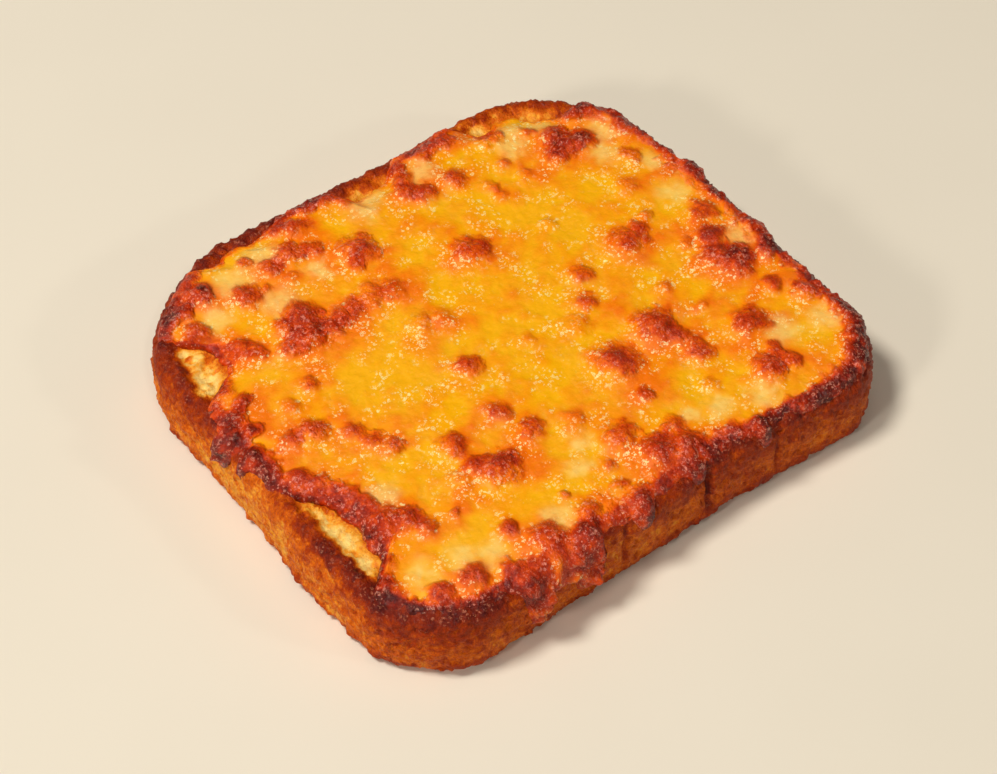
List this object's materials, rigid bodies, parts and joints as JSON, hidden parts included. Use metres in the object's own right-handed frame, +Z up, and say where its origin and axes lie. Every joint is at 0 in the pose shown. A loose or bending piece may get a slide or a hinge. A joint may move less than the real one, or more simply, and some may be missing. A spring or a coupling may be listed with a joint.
{
  "type": "cheese on toast",
  "caption": "Thick slice of toasted tin bread under a layer of melted cheese with browned, blistered patches, cheese running over the rim and down the crust.",
  "frame": {"origin": "under the middle of the whole, on the surface that the slice lies on", "axes": "+Z up out of the cheese, +Y towards the domed top of the slice, +X across the slice"},
  "size_m": [0.131, 0.1177, 0.0217],
  "materials": {
    "toasted_bread": "dry toasted crumb and crust, orange brown with dark brown edges",
    "melted_cheese": "oily melted cheese, yellow orange with red brown blisters"
  },
  "bodies": {
    "root": {"bread_slice": "toasted_bread", "cheese_topping": "melted_cheese"}
  },
  "joints": []
}
